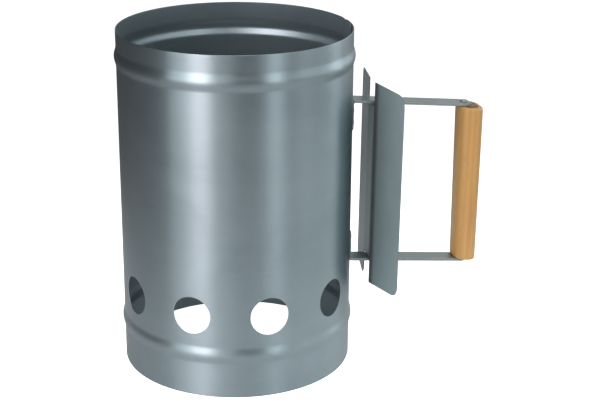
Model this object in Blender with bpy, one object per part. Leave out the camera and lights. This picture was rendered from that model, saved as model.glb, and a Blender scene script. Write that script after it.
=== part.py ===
"""Chimney charcoal starter: a rolled steel tube with vents, a strap handle with a heat shield
and a wooden grip, and a loose wire grate on four brackets.  Metres, +Z up, handle along +X."""

import math

import bmesh
import bpy
from mathutils import Matrix, Vector

# ---------------------------------------------------------------- driving dimensions
GAP = 0.0003                    # clearance wherever two pieces meet

TUBE_RADIUS = 0.095             # outside of the rolled sheet
TUBE_HEIGHT = 0.2805
TUBE_SHEET = 0.0007             # sheet thickness
TUBE_SEGMENTS = 64
LAP_START = math.radians(-4.5)  # inner end of the rolled sheet
LAP_END = math.radians(5.5)     # outer end of the rolled sheet
LAP_JOGGLE = math.radians(6)    # run over which the inner layer steps in under the outer one

BEAD_HEIGHTS = (0.036, 0.259)   # middles of the two rolled beads
BEAD_HALF_WIDTH = 0.008
BEAD_RISE = 0.0016

VENT_COUNT = 8
VENT_RADIUS = 0.016
VENT_HEIGHT = 0.069
VENT_PITCH = math.radians(38.2)  # the row leaves a plain stretch at the seam

STRAP_WIDTH = 0.016
STRAP_THICKNESS = 0.0024
STRAP_LEAN = math.radians(5)    # the straps fall towards the grip
STRAP_BEND = 0.003              # outside radius of the bend above a foot
STRAP_CORNER = 0.003
STRAP_END = 0.2005              # distance of the strap's end from the tube's axis
FOOT_LENGTH = 0.024
UPPER_STRAP_TOP = 0.2166        # height of the strap's upper face where it leaves the tube
LOWER_STRAP_TOP = 0.0770
FOOT_RIVETS = (0.008, 0.018)    # from the strap's face, along the foot

RIVET_SHANK = 0.002
RIVET_HEAD = 0.004
RIVET_RISE = 0.0018
RIVET_TAIL = 0.0012

SHIELD_X = 0.1142               # middle of the shield's web, at its middle height
SHIELD_LEAN = math.radians(0.5)  # the shield's top leans towards the grip
SHIELD_SHEET = 0.001
SHIELD_BOTTOM = 0.0534
SHIELD_TOP = 0.2308
SHIELD_MIDDLE = (SHIELD_BOTTOM + SHIELD_TOP) / 2
SHIELD_HALF_SLOT = 0.0086       # the slots and the web are just wider than a strap
SHIELD_WING = 0.0437            # width of each wing along the sheet
SHIELD_WING_DROP = 0.002        # the wings' ends narrow by this at the top and the bottom
SHIELD_BENDS = (math.radians(16.5), math.radians(8.6))   # wings on the -Y and +Y sides
SHIELD_CORNERS = (0.0085, 0.005)  # rounding of each wing's free end
SLOT_CORNERS = (0.001, 0.009)   # rounding of each wing's lower corner at the slot
TAB_HALF_WIDTH = 0.0065
TAB_LENGTH = 0.014
TAB_BEND = 0.0015
TAB_RIVET = 0.008               # from the web

GRIP_X = 0.200                  # grip's middle, from the tube's axis
GRIP_HALF_TOP = (0.0106, 0.0143)
GRIP_HALF_BOTTOM = (0.0099, 0.0136)
GRIP_ROUNDNESS = 2.5            # exponent of the oval section
GRIP_EDGE = 0.0018
SCREW_X = 0.1952
SCREW_SHANK = 0.002
SCREW_HEAD = 0.0034
SCREW_RISE = 0.0008
SCREW_LENGTH = 0.018

BRACKET_TOP = 0.090             # the grate's ring rests here
BRACKET_SHEET = 0.0012
BRACKET_WIDTH = 0.016
BRACKET_LEG = 0.009
BRACKET_DEPTH = 0.014
BRACKET_ANGLES = [math.radians(a) for a in (27, 141.8, 218.2, 333)]

RING_RADIUS = 0.088             # middle of the ring's wire
RING_WIRE = 0.0025
BAR_WIRE = 0.002
BAR_SPACING = 0.022
BAR_COUNT = 7

# the tube's axis stands off the origin, which is the middle of the whole object's footprint
REACH_BACK = TUBE_RADIUS + BEAD_RISE
REACH_FRONT = GRIP_X + GRIP_HALF_TOP[0]
AXIS_X = (REACH_BACK - REACH_FRONT) / 2


# ---------------------------------------------------------------- helpers
def clear_scene():
    for obj in list(bpy.data.objects):
        bpy.data.objects.remove(obj, do_unlink=True)


def make_material(name, colour, roughness, metallic):
    material = bpy.data.materials.new(name)
    material.use_nodes = True
    shader = material.node_tree.nodes["Principled BSDF"]
    shader.inputs["Base Color"].default_value = (*colour, 1)
    shader.inputs["Roughness"].default_value = roughness
    shader.inputs["Metallic"].default_value = metallic
    material.diffuse_color = (*colour, 1)
    return material


def add_object(name, bm, material, smooth_angle=math.radians(35)):
    """Turn a bmesh into a named object standing on the tube's axis."""
    bmesh.ops.recalc_face_normals(bm, faces=bm.faces)
    mesh = bpy.data.meshes.new(name)
    bm.to_mesh(mesh)
    bm.free()
    mesh.shade_smooth()
    mesh.set_sharp_from_angle(angle=smooth_angle)
    if material:
        mesh.materials.append(material)
    obj = bpy.data.objects.new(name, mesh)
    bpy.context.scene.collection.objects.link(obj)
    obj.parent = bpy.data.objects["starter"]
    return obj


def cut(target, bm):
    """Cut the solids of a bmesh out of an object."""
    cutter = add_object(target.name + "_cutter", bm, None)
    cutter.hide_render = True
    cutter.display_type = "WIRE"
    modifier = target.modifiers.new("holes", "BOOLEAN")
    modifier.operation = "DIFFERENCE"
    modifier.solver = "EXACT"
    modifier.object = cutter


def add_rod(bm, start, end, radius, segments=16):
    """A plain round rod between two points, used for holes and wires."""
    start = Vector(start)
    run = Vector(end) - start
    turn = run.to_track_quat("Z", "Y").to_matrix().to_4x4()
    place = Matrix.Translation(start + run / 2) @ turn
    bmesh.ops.create_cone(bm, cap_ends=True, segments=segments, radius1=radius, radius2=radius,
                          depth=run.length, matrix=place)


def turned(profile, segments=16):
    """Revolve (radius, height) points about Z; the first and last points lie on the axis."""
    bm = bmesh.new()
    points = [bm.verts.new((radius, 0, height)) for radius, height in profile]
    edges = [bm.edges.new(pair) for pair in zip(points, points[1:])]
    bmesh.ops.spin(bm, geom=points + edges, cent=(0, 0, 0), axis=(0, 0, 1),
                   angle=2 * math.pi, steps=segments, use_merge=True)
    bmesh.ops.remove_doubles(bm, verts=bm.verts, dist=1e-7)
    return bm


def extruded(outline, start, depth):
    """A closed outline of 3-D points, moved by start and extruded by the vector depth."""
    bm = bmesh.new()
    face = bm.faces.new([bm.verts.new(Vector(point) + Vector(start)) for point in outline])
    walls = bmesh.ops.extrude_face_region(bm, geom=[face])
    moved = [item for item in walls["geom"] if isinstance(item, bmesh.types.BMVert)]
    bmesh.ops.translate(bm, verts=moved, vec=depth)
    return bm


def arc(centre, radius, start, end, steps):
    """Points on an arc, with angles from the first axis towards the second."""
    turns = [start + (end - start) * i / steps for i in range(steps + 1)]
    return [(centre[0] + radius * math.cos(t), centre[1] + radius * math.sin(t)) for t in turns]


def strap_face(top, x, depth=0):
    """Height at x of the plane lying depth below a strap's upper face, which starts at top."""
    return top - math.tan(STRAP_LEAN) * (x - TUBE_RADIUS) - depth / math.cos(STRAP_LEAN)


def fold(x_face, height, lean, radius, way, steps, inset=0):
    """(x, z) points of a bend from an upright face to a falling one that meets it at a height.

    The upright part lies above the bend for way = 1 and below it for way = -1.  inset moves the
    points towards the bend's centre, for the inner face of the same sheet.
    """
    fall = math.tan(lean) * (radius - way * radius * math.sin(lean))
    centre = (x_face + radius, height - fall + way * radius * math.cos(lean))
    return arc(centre, radius - inset, math.pi, math.pi + way * math.pi / 2 - lean, steps)


def strap_normal(x, z, distance):
    """A point at a distance above (x, z), square to the sloping straps."""
    return (x + distance * math.sin(STRAP_LEAN), 0, z + distance * math.cos(STRAP_LEAN))


# ---------------------------------------------------------------- tube
def bead_rise(z):
    """How far the wall swells outwards at a height."""
    for middle in BEAD_HEIGHTS:
        offset = abs(z - middle) / BEAD_HALF_WIDTH
        if offset < 1:
            return BEAD_RISE * (1 + math.cos(math.pi * offset)) / 2
    return 0


def tube_levels():
    levels = [0, TUBE_HEIGHT]
    for middle in BEAD_HEIGHTS:
        levels += [middle + BEAD_HALF_WIDTH * i / 3 for i in range(-3, 4)]
    return sorted(levels)


def tube_columns():
    """(angle, inward step) along the sheet, from its inner end once round to its outer end."""
    step_in = TUBE_SHEET + GAP
    columns = [(LAP_START, step_in), (0, step_in), (LAP_END, step_in)]
    first = LAP_END + LAP_JOGGLE
    turn = 2 * math.pi / TUBE_SEGMENTS
    last = LAP_END + 2 * math.pi
    count = round((last - first) / turn)
    columns += [(first + (last - first) * i / count, 0) for i in range(count + 1)]
    return columns


def tube_mesh():
    bm = bmesh.new()
    levels = tube_levels()
    grid = []
    for angle, step_in in tube_columns():
        column = []
        for z in levels:
            outer = TUBE_RADIUS + bead_rise(z) - step_in
            pair = [(r * math.cos(angle), r * math.sin(angle), z) for r in (outer, outer - TUBE_SHEET)]
            column.append([bm.verts.new(point) for point in pair])
        grid.append(column)
    for left, right in zip(grid, grid[1:]):
        for low, high in zip(range(len(levels) - 1), range(1, len(levels))):
            for side in (0, 1):
                bm.faces.new((left[low][side], right[low][side], right[high][side], left[high][side]))
        for row in (0, -1):
            bm.faces.new((left[row][0], right[row][0], right[row][1], left[row][1]))
    for column in (grid[0], grid[-1]):
        for low, high in zip(column, column[1:]):
            bm.faces.new((low[0], high[0], high[1], low[1]))
    return bm


def vent_angles():
    middle = (VENT_COUNT - 1) / 2
    return [math.pi + (i - middle) * VENT_PITCH for i in range(VENT_COUNT)]


def foot_rivet_heights(top, foot_way):
    face = top if foot_way > 0 else top - STRAP_THICKNESS
    return [face + foot_way * run for run in FOOT_RIVETS]


def build_tube(steel):
    tube = add_object("body_tube", tube_mesh(), steel)
    holes = bmesh.new()
    for angle in vent_angles():
        ends = [(r * math.cos(angle), r * math.sin(angle), VENT_HEIGHT)
                for r in (TUBE_RADIUS * 0.9, TUBE_RADIUS * 1.1)]
        add_rod(holes, *ends, VENT_RADIUS, segments=24)
    for z in foot_rivet_heights(UPPER_STRAP_TOP, -1) + foot_rivet_heights(LOWER_STRAP_TOP, 1):
        add_rod(holes, (TUBE_RADIUS * 0.9, 0, z), (TUBE_RADIUS * 1.1, 0, z), RIVET_SHANK + GAP, 12)
    cut(tube, holes)


# ---------------------------------------------------------------- handle
def strap_outline(top, foot_way):
    """Side view (x, z) of a strap whose foot turns down (-1) or up (+1) along the tube."""
    inner = TUBE_RADIUS + GAP
    tip = foot_tip(top, foot_way)
    outer_depth = 0 if foot_way < 0 else STRAP_THICKNESS      # the face outside the bend
    inner_depth = STRAP_THICKNESS - outer_depth
    height = strap_face(top, inner, outer_depth)
    outer_bend = fold(inner, height, STRAP_LEAN, STRAP_BEND, foot_way, 4)
    inner_bend = fold(inner, height, STRAP_LEAN, STRAP_BEND, foot_way, 3, inset=STRAP_THICKNESS)
    end = [(STRAP_END, strap_face(top, STRAP_END, depth)) for depth in (outer_depth, inner_depth)]
    return [(inner, tip)] + outer_bend + end + inner_bend[::-1] + [(inner + STRAP_THICKNESS, tip)]


def foot_tip(top, foot_way):
    return top + (FOOT_LENGTH if foot_way > 0 else -FOOT_LENGTH - STRAP_THICKNESS)


def strap_mesh(top, foot_way):
    outline = [(x, 0, z) for x, z in strap_outline(top, foot_way)]
    bm = extruded(outline, (0, -STRAP_WIDTH / 2, 0), (0, STRAP_WIDTH, 0))
    tip = foot_tip(top, foot_way)

    def at_a_tip(edge):
        ends = [vert.co for vert in edge.verts]
        along_sheet = abs(ends[0].y - ends[1].y) < 1e-6
        at_end = all(end.x > STRAP_END - 1e-5 for end in ends)
        at_foot = all(abs(end.z - tip) < 1e-5 for end in ends)
        return along_sheet and (at_end or at_foot)

    tips = [edge for edge in bm.edges if at_a_tip(edge)]
    bmesh.ops.bevel(bm, geom=tips, offset=STRAP_CORNER, segments=3, profile=0.5, affect="EDGES")
    return bm


def add_strap_hole(bm, top, x, reach):
    """A rivet or screw hole square to a strap, reaching this far on both sides of its face."""
    z = strap_face(top, x)
    add_rod(bm, strap_normal(x, z, -reach), strap_normal(x, z, reach), RIVET_SHANK + GAP, 12)


def build_strap(name, top, foot_way, steel):
    strap = add_object(name, strap_mesh(top, foot_way), steel)
    holes = bmesh.new()
    for z in foot_rivet_heights(top, foot_way):
        add_rod(holes, (TUBE_RADIUS - 0.002, 0, z), (TUBE_RADIUS + 0.008, 0, z), RIVET_SHANK + GAP, 12)
    for x in (SHIELD_X + TAB_RIVET, SCREW_X):
        add_strap_hole(holes, top, x, 0.008)
    cut(strap, holes)


def rivet_mesh(grip_length):
    """A domed rivet along Z: head above z = 0, tail below z = -grip_length."""
    dome = [(RIVET_HEAD * math.sin(a), RIVET_RISE * math.cos(a))
            for a in (0, math.pi / 6, math.pi / 3, math.pi / 2)]
    tail = [(RIVET_SHANK, 0), (RIVET_SHANK, -grip_length), (RIVET_HEAD * 0.8, -grip_length),
            (RIVET_HEAD * 0.7, -grip_length - RIVET_TAIL), (0, -grip_length - RIVET_TAIL)]
    return turned(dome + tail, 12)


def build_foot_rivets(name, top, foot_way, steel):
    """Rivets along X through a foot and both layers of the lap seam."""
    outside = TUBE_RADIUS + GAP + STRAP_THICKNESS + GAP
    inside = TUBE_RADIUS - 2 * TUBE_SHEET - 2 * GAP
    for i, z in enumerate(foot_rivet_heights(top, foot_way)):
        rivet = add_object(f"{name}_{i + 1}", rivet_mesh(outside - inside), steel)
        rivet.location = (outside, 0, z)
        rivet.rotation_euler = (0, math.pi / 2, 0)


def place_on_strap(obj, top, x, way):
    """Stand a rivet or screw on a strap's upper (1) or lower (-1) face, square to it."""
    depth = -GAP if way > 0 else STRAP_THICKNESS + GAP
    obj.location = (x, 0, strap_face(top, x, depth))
    obj.rotation_euler = (0, STRAP_LEAN + (0 if way > 0 else math.pi), 0)


def build_shield_rivets(steel):
    """Rivets through a strap and the shield's tab behind it."""
    stack = STRAP_THICKNESS + SHIELD_SHEET + 3 * GAP
    for name, top, way in (("upper_shield_rivet", UPPER_STRAP_TOP, 1),
                           ("lower_shield_rivet", LOWER_STRAP_TOP, -1)):
        rivet = add_object(name, rivet_mesh(stack), steel)
        place_on_strap(rivet, top, SHIELD_X + TAB_RIVET, way)


def wing_end(r):
    """(run, height) points up a wing's free end, with its corners rounded by r."""
    run = SHIELD_WING
    top = SHIELD_TOP - SHIELD_WING_DROP
    bottom = SHIELD_BOTTOM + SHIELD_WING_DROP
    corner_low = arc((run - r, bottom + r), r, -math.pi / 2, 0, 4)
    corner_high = arc((run - r, top - r), r, 0, math.pi / 2, 4)
    return corner_low + corner_high


def wing_root(heights, r):
    """(run, height) points down a wing's side at the slots, past the web's upper and lower ends."""
    corner = arc((r, SHIELD_BOTTOM + r), r, math.pi, math.pi * 3 / 2, 4)
    return [(0, SHIELD_TOP)] + [(0, height) for height in heights] + corner


def web_height(top, depth):
    """Height on the web, measured along it, of the plane lying depth below a strap's face."""
    rise = strap_face(top, SHIELD_X, depth) - SHIELD_MIDDLE
    return SHIELD_MIDDLE + rise / (math.cos(SHIELD_LEAN) + math.tan(STRAP_LEAN) * math.sin(SHIELD_LEAN))


def tab_points(way):
    """Side view of a tab: the upper one (-1) lies under its strap, the lower one (1) on it."""
    clear = GAP + SHIELD_SHEET / 2
    height = (web_height(LOWER_STRAP_TOP, -clear) if way > 0 else
              web_height(UPPER_STRAP_TOP, STRAP_THICKNESS + clear))
    lean = STRAP_LEAN - SHIELD_LEAN
    points = fold(SHIELD_X, height, lean, TAB_BEND, way, 3)
    reach = points[-1][0] + TAB_LENGTH
    return points + [(reach, height - math.tan(lean) * (reach - SHIELD_X))]


def shield_mesh():
    """The shield's middle surface: web, two wings and two tabs; a modifier gives it its thickness.

    It is laid out upright and then leaned about the middle of its web.
    """
    bm = bmesh.new()
    strips = {}
    for way in (1, -1):
        strip = [[bm.verts.new((x, side * TAB_HALF_WIDTH, z)) for side in (-1, 1)]
                 for x, z in tab_points(way)]
        for near, far in zip(strip, strip[1:]):
            bm.faces.new((near[0], near[1], far[1], far[0]))
        strips[way] = strip[0]
    low, high = strips[1], strips[-1]
    corners = {}
    for side, bend, end_corner, slot_corner in zip((-1, 1), SHIELD_BENDS, SHIELD_CORNERS, SLOT_CORNERS):
        root = wing_root((high[0].co.z, low[0].co.z), slot_corner)
        rim = [bm.verts.new((SHIELD_X + run * math.sin(bend),
                             side * (SHIELD_HALF_SLOT + run * math.cos(bend)), z))
               for run, z in root + wing_end(end_corner)]
        bm.faces.new(rim)
        corners[side] = (rim[2], rim[1])
    bm.faces.new((corners[-1][0], low[0], low[1], corners[1][0],
                  corners[1][1], high[1], high[0], corners[-1][1]))
    bmesh.ops.rotate(bm, verts=bm.verts, cent=(SHIELD_X, 0, SHIELD_MIDDLE),
                     matrix=Matrix.Rotation(SHIELD_LEAN, 3, "Y"))
    return bm


def build_shield(steel):
    shield = add_object("heat_shield", shield_mesh(), steel)
    thickness = shield.modifiers.new("sheet", "SOLIDIFY")
    thickness.thickness = SHIELD_SHEET
    thickness.offset = 0
    thickness.use_even_offset = True
    holes = bmesh.new()
    for top in (UPPER_STRAP_TOP, LOWER_STRAP_TOP):
        add_strap_hole(holes, top, SHIELD_X + TAB_RIVET, 0.008)
    cut(shield, holes)


def oval(half_x, half_y, steps=28):
    """Points of a rounded oval (a superellipse)."""
    power = 2 / GRIP_ROUNDNESS
    points = []
    for i in range(steps):
        c = math.cos(2 * math.pi * i / steps)
        s = math.sin(2 * math.pi * i / steps)
        points.append((math.copysign(abs(c) ** power * half_x, c),
                       math.copysign(abs(s) ** power * half_y, s)))
    return points


def build_grip(wood):
    """A tapering oval bar whose ends follow the slope of the straps."""
    bm = bmesh.new()
    low = strap_face(LOWER_STRAP_TOP, GRIP_X, -GAP)
    high = strap_face(UPPER_STRAP_TOP, GRIP_X, STRAP_THICKNESS + GAP)
    levels = [(low, GRIP_HALF_BOTTOM, GRIP_EDGE), (low + GRIP_EDGE, GRIP_HALF_BOTTOM, 0),
              (high - GRIP_EDGE, GRIP_HALF_TOP, 0), (high, GRIP_HALF_TOP, GRIP_EDGE)]
    rings = []
    for z, half, inset in levels:
        points = oval(half[0] - inset, half[1] - inset)
        rings.append([bm.verts.new((GRIP_X + x, y, z - x * math.tan(STRAP_LEAN))) for x, y in points])
    for under, over in zip(rings, rings[1:]):
        for i in range(len(under)):
            j = (i + 1) % len(under)
            bm.faces.new((under[i], under[j], over[j], over[i]))
    bm.faces.new(rings[0])
    bm.faces.new(rings[-1])
    grip = add_object("grip", bm, wood)
    holes = bmesh.new()
    for top in (UPPER_STRAP_TOP, LOWER_STRAP_TOP):
        add_strap_hole(holes, top, SCREW_X, SCREW_LENGTH + GAP)
    cut(grip, holes)


def build_screws(steel):
    """Low-headed screws through the strap ends, down and up into the grip."""
    head = [(0, SCREW_RISE), (SCREW_HEAD * 0.6, SCREW_RISE * 0.8), (SCREW_HEAD, SCREW_RISE / 4),
            (SCREW_HEAD, 0)]
    shank = [(SCREW_SHANK, 0), (SCREW_SHANK, 0.003 - SCREW_LENGTH), (0, -SCREW_LENGTH)]
    for name, top, way in (("upper_grip_screw", UPPER_STRAP_TOP, 1),
                           ("lower_grip_screw", LOWER_STRAP_TOP, -1)):
        screw = add_object(name, turned(head + shank, 12), steel)
        place_on_strap(screw, top, SCREW_X, way)


# ---------------------------------------------------------------- grate
def build_brackets(steel):
    """Angle brackets inside the wall: an upright welded flange and a level leg on top."""
    wall = TUBE_RADIUS * math.cos(math.pi / TUBE_SEGMENTS) - TUBE_SHEET - GAP
    flat = math.sqrt(wall ** 2 - (BRACKET_WIDTH / 2) ** 2)
    outline = [(flat, BRACKET_TOP - BRACKET_DEPTH), (flat, BRACKET_TOP),
               (flat - BRACKET_LEG, BRACKET_TOP), (flat - BRACKET_LEG, BRACKET_TOP - BRACKET_SHEET),
               (flat - BRACKET_SHEET, BRACKET_TOP - BRACKET_SHEET),
               (flat - BRACKET_SHEET, BRACKET_TOP - BRACKET_DEPTH)]
    for i, angle in enumerate(BRACKET_ANGLES):
        bm = extruded([(x, 0, z) for x, z in outline], (0, -BRACKET_WIDTH / 2, 0),
                      (0, BRACKET_WIDTH, 0))
        bracket = add_object(f"grate_bracket_{i + 1}", bm, steel)
        bracket.rotation_euler = (0, 0, angle)


def ring_mesh(radius, wire, z):
    bm = bmesh.new()
    count, sides = 40, 8
    rings = []
    for i in range(count):
        turn = 2 * math.pi * i / count
        section = []
        for j in range(sides):
            roll = 2 * math.pi * (j + 0.5) / sides
            r = radius + wire * math.cos(roll)
            height = z + wire * math.sin(roll)
            section.append(bm.verts.new((r * math.cos(turn), r * math.sin(turn), height)))
        rings.append(section)
    for i in range(count):
        here, there = rings[i], rings[(i + 1) % count]
        for j in range(sides):
            k = (j + 1) % sides
            bm.faces.new((here[j], there[j], there[k], here[k]))
    return bm


def build_grate(steel):
    ring_z = BRACKET_TOP + GAP + RING_WIRE
    add_object("grate_ring", ring_mesh(RING_RADIUS, RING_WIRE, ring_z), steel)
    bar_z = ring_z + RING_WIRE + BAR_WIRE + GAP
    for i in range(BAR_COUNT):
        y = (i - (BAR_COUNT - 1) / 2) * BAR_SPACING
        half = math.sqrt(RING_RADIUS ** 2 - y ** 2)
        bm = bmesh.new()
        add_rod(bm, (-half, y, bar_z), (half, y, bar_z), BAR_WIRE, 8)
        add_object(f"grate_bar_{i + 1}", bm, steel)
    cross_z = bar_z - 2 * BAR_WIRE - GAP
    half = RING_RADIUS - RING_WIRE - GAP
    bm = bmesh.new()
    add_rod(bm, (0, -half, cross_z), (0, half, cross_z), BAR_WIRE, 8)
    add_object("grate_cross_bar", bm, steel)


def main():
    clear_scene()
    root = bpy.data.objects.new("starter", None)
    root.location = (AXIS_X, 0, 0)
    bpy.context.scene.collection.objects.link(root)
    sheet_steel = make_material("sheet_steel", (0.36, 0.40, 0.41), 0.38, 1)
    wire_steel = make_material("wire_steel", (0.42, 0.43, 0.44), 0.35, 1)
    rivet_steel = make_material("rivet_steel", (0.50, 0.52, 0.53), 0.30, 1)
    grip_wood = make_material("grip_wood", (0.56, 0.34, 0.13), 0.45, 0)
    build_tube(sheet_steel)
    build_strap("upper_strap", UPPER_STRAP_TOP, -1, sheet_steel)
    build_strap("lower_strap", LOWER_STRAP_TOP, 1, sheet_steel)
    build_shield(sheet_steel)
    build_foot_rivets("upper_foot_rivet", UPPER_STRAP_TOP, -1, rivet_steel)
    build_foot_rivets("lower_foot_rivet", LOWER_STRAP_TOP, 1, rivet_steel)
    build_shield_rivets(rivet_steel)
    build_grip(grip_wood)
    build_screws(rivet_steel)
    build_brackets(sheet_steel)
    build_grate(wire_steel)


main()
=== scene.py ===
"""Looks of the chimney charcoal starter: finer sheet-metal, wire and wooden pieces with their
materials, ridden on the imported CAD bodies, on a pale floor in soft studio light.

Metres, +Z up.  Sizes are the CAD part's own; the handle points along +X."""

import math

import bmesh
import bpy
import numpy as np
from mathutils import Matrix, Vector


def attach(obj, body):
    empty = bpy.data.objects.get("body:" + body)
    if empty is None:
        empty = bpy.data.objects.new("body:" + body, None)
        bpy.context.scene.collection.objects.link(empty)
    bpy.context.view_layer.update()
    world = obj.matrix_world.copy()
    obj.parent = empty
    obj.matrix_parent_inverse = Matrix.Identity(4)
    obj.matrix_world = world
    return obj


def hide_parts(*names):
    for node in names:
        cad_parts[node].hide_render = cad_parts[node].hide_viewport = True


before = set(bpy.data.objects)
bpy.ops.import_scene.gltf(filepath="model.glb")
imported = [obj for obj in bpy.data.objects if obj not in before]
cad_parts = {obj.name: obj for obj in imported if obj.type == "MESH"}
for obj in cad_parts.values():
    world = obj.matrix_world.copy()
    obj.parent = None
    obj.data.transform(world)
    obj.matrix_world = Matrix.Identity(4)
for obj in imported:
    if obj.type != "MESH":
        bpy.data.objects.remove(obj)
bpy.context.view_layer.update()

# ---------------------------------------------------------------- the CAD part's sizes
GAP = 0.0003

TUBE_RADIUS = 0.095
TUBE_HEIGHT = 0.2805
TUBE_SHEET = 0.0007
LAP_START = math.radians(-4.5)
LAP_END = math.radians(5.5)
LAP_JOGGLE = math.radians(6)
BEAD_HEIGHTS = (0.036, 0.259)
BEAD_HALF_WIDTH = 0.008
BEAD_RISE = 0.0016

VENT_COUNT = 8
VENT_RADIUS = 0.016
VENT_HEIGHT = 0.069
VENT_PITCH = math.radians(38.2)

STRAP_WIDTH = 0.016
STRAP_THICKNESS = 0.0024
STRAP_LEAN = math.radians(5)
STRAP_BEND = 0.003
STRAP_CORNER = 0.003
STRAP_END = 0.2005
FOOT_LENGTH = 0.024
UPPER_STRAP_TOP = 0.2166
LOWER_STRAP_TOP = 0.0770
FOOT_RIVETS = (0.008, 0.018)
HANDLE_SIDES = (("upper", UPPER_STRAP_TOP, -1), ("lower", LOWER_STRAP_TOP, 1))   # foot turns down, up

RIVET_SHANK = 0.002
RIVET_HEAD = 0.004
RIVET_RISE = 0.0018
FOOT_RIVET_RISE = 0.0011        # of the feet's rivets, lower than the CAD part's
RIVET_TAIL = 0.0012
HOLE_RADIUS = RIVET_SHANK + GAP
HOLE_BLOCK = 0.004              # half width of the square of cells round a rivet hole

SHIELD_X = 0.1142
SHIELD_LEAN = math.radians(0.5)
SHIELD_SHEET = 0.001
SHIELD_BOTTOM = 0.0534
SHIELD_TOP = 0.2308
SHIELD_MIDDLE = (SHIELD_BOTTOM + SHIELD_TOP) / 2
SHIELD_HALF_SLOT = 0.0086
SHIELD_WING = 0.0437
SHIELD_WING_DROP = 0.002
SHIELD_CORNERS = (0.0085, 0.005)  # of each wing's free end, on the -Y and +Y sides
SLOT_CORNERS = (0.001, 0.009)   # of each wing's lower corner at the slot
SLOT_CORNER_HEIGHT = 2.2        # over which that rounding fades out, in corner radii
SHIELD_FOLD = 0.0015            # radius of the fold along a wing
SHIELD_BENDS = (math.radians(16.5), math.radians(8.6))
TAB_HALF_WIDTH = 0.0065
TAB_LENGTH = 0.014
TAB_BEND = 0.0015
TAB_CORNER = 0.002
TAB_RIVET = 0.008

GRIP_X = 0.200
GRIP_HALF_TOP = (0.0106, 0.0143)
GRIP_HALF_BOTTOM = (0.0099, 0.0136)
GRIP_ROUNDNESS = 2.5
GRIP_EDGE = 0.0018
SCREW_X = 0.1952
SCREW_SHANK = 0.002
SCREW_HEAD = 0.0034
SCREW_RISE = 0.0008
SCREW_LENGTH = 0.018

BRACKET_TOP = 0.090
BRACKET_SHEET = 0.0012
BRACKET_WIDTH = 0.016
BRACKET_LEG = 0.009
BRACKET_DEPTH = 0.014
BRACKET_BEND = 0.0014           # radius of the middle of the sheet
BRACKET_ANGLES = [math.radians(a) for a in (27, 141.8, 218.2, 333)]

RING_RADIUS = 0.088
RING_WIRE = 0.0025
BAR_WIRE = 0.002
BAR_SPACING = 0.022
BAR_COUNT = 7

AXIS_X = (TUBE_RADIUS + BEAD_RISE - GRIP_X - GRIP_HALF_TOP[0]) / 2   # of the tube, off the middle
QUARTER = math.pi / 2

# ---------------------------------------------------------------- steps between a sheet's grid lines
COARSE = 0.004
MEDIUM = 0.0025
HOLE_STEP = 0.002
LAP_STEP = 0.0012
FINE = 0.001
BEAD_STEP = 0.0008
BEND_STEP = 0.0005

# ---------------------------------------------------------------- the studio
CAMERA_LENS = 85.37             # millimetres
CAMERA_PLACE = (-0.2546, -1.0950, 0.5352)
CAMERA_HEADING = math.radians(-12.95)
CAMERA_PITCH = math.radians(90 - 19.84)
CAMERA_ROLL = 0.0077
LIT_POINT = (AXIS_X, 0, 0.15)   # all lamps face this point
FLOOR_SIZE = 12
FLOOR_FADE = (0.3, 0.6)         # distances from the middle where the floor's shade changes
FLOOR_SHADES = (0.98, 0.25)     # its shade before and after them
SURROUND = (0.03, 1.2)          # its strength as a light, and as the camera sees it
LOW_BOX, HIGH_BOX, STRIP, WIDE_PANEL = (0.5, 1.0), (0.9, 0.9), (0.15, 1.0), (2.4, 1.6)
WARM, WHITE = (1.17, 1, 1.01), (1, 1, 1)
LAMPS = (           # name, degrees to the camera's right and up, distance, size, watts, colour
    ("key_left", -30, 14, 1.5, LOW_BOX, 10.3, WARM),
    ("key_left_outer", -50, 14, 1.5, LOW_BOX, 3.7, WHITE),
    ("key_left_strip", -43, 14, 1.5, STRIP, 0.45, WARM),
    ("fill_left", -70, 14, 1.5, LOW_BOX, 0.1, WHITE),
    ("fill_front", -10, 14, 1.5, LOW_BOX, 1.55, WHITE),
    ("high_front", 0, 55, 1.6, HIGH_BOX, 4.0, WHITE),
    ("top", 0, 88, 1.6, HIGH_BOX, 7.1, WHITE),
    ("high_right", 60, 55, 1.6, HIGH_BOX, 3.1, WHITE),
    ("strip_right_1", 32, 14, 1.5, STRIP, 0.66, WHITE),
    ("strip_right_2", 38, 14, 1.5, STRIP, 1.8, WHITE),
    ("strip_right_3", 44, 14, 1.5, STRIP, 0.85, WHITE),
    ("side_right_1", 50, 14, 1.5, LOW_BOX, 0.9, WHITE),
    ("side_right_2", 70, 14, 1.5, LOW_BOX, 2.1, WHITE),
    ("side_right_3", 90, 14, 1.5, LOW_BOX, 1.9, WHITE),
    ("side_right_4", 110, 14, 1.5, LOW_BOX, 4.0, WHITE),
    ("side_right_5", 130, 14, 1.5, LOW_BOX, 1.1, WHITE),
    ("back_panel", 152, 12, 2.2, WIDE_PANEL, 10, WHITE),
)


# ---------------------------------------------------------------- mesh helpers
def add_piece(name, mesh, body, material, nodes):
    """Stand a finished mesh, made round the tube's axis, in the frame in place of its CAD nodes."""
    mesh.transform(Matrix.Translation((AXIS_X, 0, 0)))
    mesh.shade_smooth()
    mesh.materials.append(material)
    piece = bpy.data.objects.new(name, mesh)
    bpy.context.scene.collection.objects.link(piece)
    even = piece.modifiers.new("even_shading", "WEIGHTED_NORMAL")
    even.mode = "FACE_AREA"
    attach(piece, body)
    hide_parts(*nodes)
    return piece


def set_place(mesh, places):
    """Store where each vertex lies on its flat blank, in metres; the materials' grain follows it."""
    layer = mesh.attributes.new("place", "FLOAT_VECTOR", "POINT")
    layer.data.foreach_set("vector", np.asarray(places, np.float32).ravel())


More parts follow.
